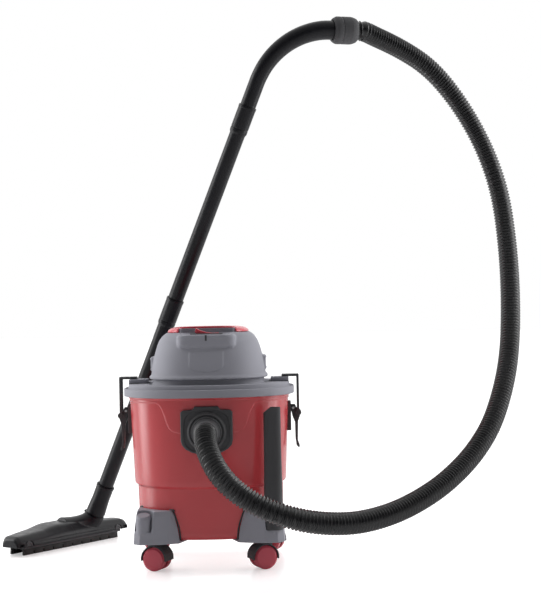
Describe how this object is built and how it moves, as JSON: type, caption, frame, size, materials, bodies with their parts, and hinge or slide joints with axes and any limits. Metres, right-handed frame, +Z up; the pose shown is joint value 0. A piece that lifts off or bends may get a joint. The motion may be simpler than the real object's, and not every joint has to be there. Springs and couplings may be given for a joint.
{
  "type": "shop vacuum",
  "caption": "Wet and dry shop vacuum on casters with clip-on motor head, front hose inlet, long corrugated hose, wand, floor nozzle and crevice tool",
  "frame": {"origin": "on the floor, under the middle of the whole object's bounding box measured without the free hose; the tank's upright axis stands at x = 0.0543 m, y = -0.0729 m", "axes": "+Z up; the front with the hose inlet faces -Y; +X is the vacuum's right as seen from the front"},
  "size_m": [0.9996, 0.6629, 1.0039],
  "materials": {
    "tank_red": "semi-gloss moulded, deep red",
    "lid_grey": "satin moulded, dark blue-grey",
    "trim_black": "satin moulded, black",
    "hose_black": "satin corrugated, black",
    "wheel_red": "semi-gloss moulded, red",
    "cap_red": "gloss moulded, bright red",
    "seal_rubber": "soft black rubber",
    "steel": "plain turned steel",
    "inner_plastic": "plain black moulding",
    "foam": "open-cell foam sleeve, modelled as fabric",
    "float_white": "plain white moulding"
  },
  "bodies": {
    "vacuum": {"cable_gland": "trim_black", "exhaust_grille": "trim_black", "fan_housing": "inner_plastic", "filter_sleeve": "foam", "float_cage": "inner_plastic", "foot_front_left": "lid_grey", "foot_front_right": "lid_grey", "foot_rear_left": "lid_grey", "foot_rear_right": "lid_grey", "handle_tube": "trim_black", "hose": "hose_black", "inlet_plate": "trim_black", "inlet_socket": "trim_black", "latch_pin_left": "steel", "latch_pin_right": "steel", "latch_plate_left": "trim_black", "latch_plate_right": "trim_black", "lid": "lid_grey", "lid_pad_left": "lid_grey", "lid_pad_right": "lid_grey", "lid_seal": "seal_rubber", "motor": "steel", "motor_cover": "lid_grey", "nozzle_neck": "trim_black", "switch_bezel": "trim_black", "tank": "tank_red", "top_cap": "cap_red", "tube_lower": "trim_black", "tube_upper": "trim_black"},
    "swivel_front_left": {"caster_hood_front_left": "trim_black", "caster_axle_front_left": "steel"},
    "wheel_front_left_left": {"caster_wheel_front_left_l": "wheel_red"},
    "wheel_front_left_right": {"caster_wheel_front_left_r": "wheel_red"},
    "swivel_front_right": {"caster_hood_front_right": "trim_black", "caster_axle_front_right": "steel"},
    "wheel_front_right_left": {"caster_wheel_front_right_l": "wheel_red"},
    "wheel_front_right_right": {"caster_wheel_front_right_r": "wheel_red"},
    "swivel_rear_left": {"caster_hood_rear_left": "trim_black", "caster_axle_rear_left": "steel"},
    "wheel_rear_left_left": {"caster_wheel_rear_left_l": "wheel_red"},
    "wheel_rear_left_right": {"caster_wheel_rear_left_r": "wheel_red"},
    "swivel_rear_right": {"caster_hood_rear_right": "trim_black", "caster_axle_rear_right": "steel"},
    "wheel_rear_right_left": {"caster_wheel_rear_right_l": "wheel_red"},
    "wheel_rear_right_right": {"caster_wheel_rear_right_r": "wheel_red"},
    "lever_left": {"latch_lever_left": "trim_black"},
    "hook_left": {"latch_hook_left": "trim_black"},
    "lever_right": {"latch_lever_right": "trim_black"},
    "hook_right": {"latch_hook_right": "trim_black"},
    "rocker": {"rocker_switch": "cap_red"},
    "crevice_tool": {"crevice_tool": "trim_black"},
    "nozzle": {"nozzle_body": "trim_black", "nozzle_sole": "trim_black", "squeegee_strip": "seal_rubber", "brush_strip": "seal_rubber"},
    "cuff": {"hose_cuff": "trim_black"},
    "coupling": {"hose_coupling": "trim_black"},
    "rotor": {"fan": "inner_plastic", "motor_shaft": "steel"},
    "float": {"float_ball": "float_white"}
  },
  "joints": [
    {"name": "swivel_front_left", "type": "hinge", "parent": "vacuum", "child": "swivel_front_left", "pos_m": [-0.0462, -0.16695, 0.0505], "axis": [0, 0, 1], "continuous": true},
    {"name": "spin_front_left_left", "type": "hinge", "parent": "swivel_front_left", "child": "wheel_front_left_left", "pos_m": [-0.03873, -0.16981, 0.021], "axis": [0.3584, 0.9336, 0], "continuous": true},
    {"name": "spin_front_left_right", "type": "hinge", "parent": "swivel_front_left", "child": "wheel_front_left_right", "pos_m": [-0.03873, -0.16981, 0.021], "axis": [0.3584, 0.9336, 0], "continuous": true},
    {"name": "swivel_front_right", "type": "hinge", "parent": "vacuum", "child": "swivel_front_right", "pos_m": [0.1548, -0.16695, 0.0505], "axis": [0, 0, 1], "continuous": true},
    {"name": "spin_front_right_left", "type": "hinge", "parent": "swivel_front_right", "child": "wheel_front_right_left", "pos_m": [0.14733, -0.16981, 0.021], "axis": [0.3584, -0.9336, 0], "continuous": true},
    {"name": "spin_front_right_right", "type": "hinge", "parent": "swivel_front_right", "child": "wheel_front_right_right", "pos_m": [0.14733, -0.16981, 0.021], "axis": [0.3584, -0.9336, 0], "continuous": true},
    {"name": "swivel_rear_left", "type": "hinge", "parent": "vacuum", "child": "swivel_rear_left", "pos_m": [-0.0462, 0.02106, 0.0505], "axis": [0, 0, 1], "continuous": true},
    {"name": "spin_rear_left_left", "type": "hinge", "parent": "swivel_rear_left", "child": "wheel_rear_left_left", "pos_m": [-0.05367, 0.01819, 0.021], "axis": [0.3584, -0.9336, 0], "continuous": true},
    {"name": "spin_rear_left_right", "type": "hinge", "parent": "swivel_rear_left", "child": "wheel_rear_left_right", "pos_m": [-0.05367, 0.01819, 0.021], "axis": [0.3584, -0.9336, 0], "continuous": true},
    {"name": "swivel_rear_right", "type": "hinge", "parent": "vacuum", "child": "swivel_rear_right", "pos_m": [0.1548, 0.02106, 0.0505], "axis": [0, 0, 1], "continuous": true},
    {"name": "spin_rear_right_left", "type": "hinge", "parent": "swivel_rear_right", "child": "wheel_rear_right_left", "pos_m": [0.16226, 0.01819, 0.021], "axis": [0.3584, 0.9336, 0], "continuous": true},
    {"name": "spin_rear_right_right", "type": "hinge", "parent": "swivel_rear_right", "child": "wheel_rear_right_right", "pos_m": [0.16226, 0.01819, 0.021], "axis": [0.3584, 0.9336, 0], "continuous": true},
    {"name": "latch_lever_left", "type": "hinge", "parent": "vacuum", "child": "lever_left", "pos_m": [-0.0977, -0.07294, 0.2745], "axis": [0, 1, 0], "range_deg": [0, 85]},
    {"name": "latch_hook_left", "type": "hinge", "parent": "lever_left", "child": "hook_left", "pos_m": [-0.1067, -0.07294, 0.2665], "axis": [0, 1, 0], "range_deg": [-85, 0]},
    {"name": "latch_lever_right", "type": "hinge", "parent": "vacuum", "child": "lever_right", "pos_m": [0.2063, -0.07294, 0.2745], "axis": [0, -1, 0], "range_deg": [0, 85]},
    {"name": "latch_hook_right", "type": "hinge", "parent": "lever_right", "child": "hook_right", "pos_m": [0.2153, -0.07294, 0.2665], "axis": [0, -1, 0], "range_deg": [-85, 0]},
    {"name": "rocker_press", "type": "hinge", "parent": "vacuum", "child": "rocker", "pos_m": [0.0543, -0.15394, 0.412], "axis": [0, -1, 0], "range_deg": [0, 24]},
    {"name": "tool_lift", "type": "slide", "parent": "vacuum", "child": "crevice_tool", "axis": [0, 0, 1], "range_m": [0, 0.018]},
    {"name": "nozzle_swivel", "type": "hinge", "parent": "vacuum", "child": "nozzle", "pos_m": [-0.1891, 0.17705, 0.0541], "axis": [0.3729, -0.1966, 0.9068], "range_deg": [-12, 12]},
    {"name": "cuff_swivel", "type": "hinge", "parent": "vacuum", "child": "cuff", "pos_m": [0.0543, -0.24294, 0.2445], "axis": [0, -1, 0], "continuous": true},
    {"name": "coupling_swivel", "type": "hinge", "parent": "vacuum", "child": "coupling", "pos_m": [0.30469, 0.00865, 0.97816], "axis": [0.9627, 0.2707, 0], "continuous": true},
    {"name": "fan_spin", "type": "hinge", "parent": "vacuum", "child": "rotor", "pos_m": [0.0543, -0.07294, 0.3103], "axis": [0, 0, 1], "continuous": true},
    {"name": "float_rise", "type": "slide", "parent": "vacuum", "child": "float", "axis": [0, 0, 1], "range_m": [0, 0.02]}
  ],
  "couplings": [
    {"joint": "latch_hook_left", "follows": "latch_lever_left", "ratio": -1},
    {"joint": "latch_hook_right", "follows": "latch_lever_right", "ratio": -1}
  ]
}
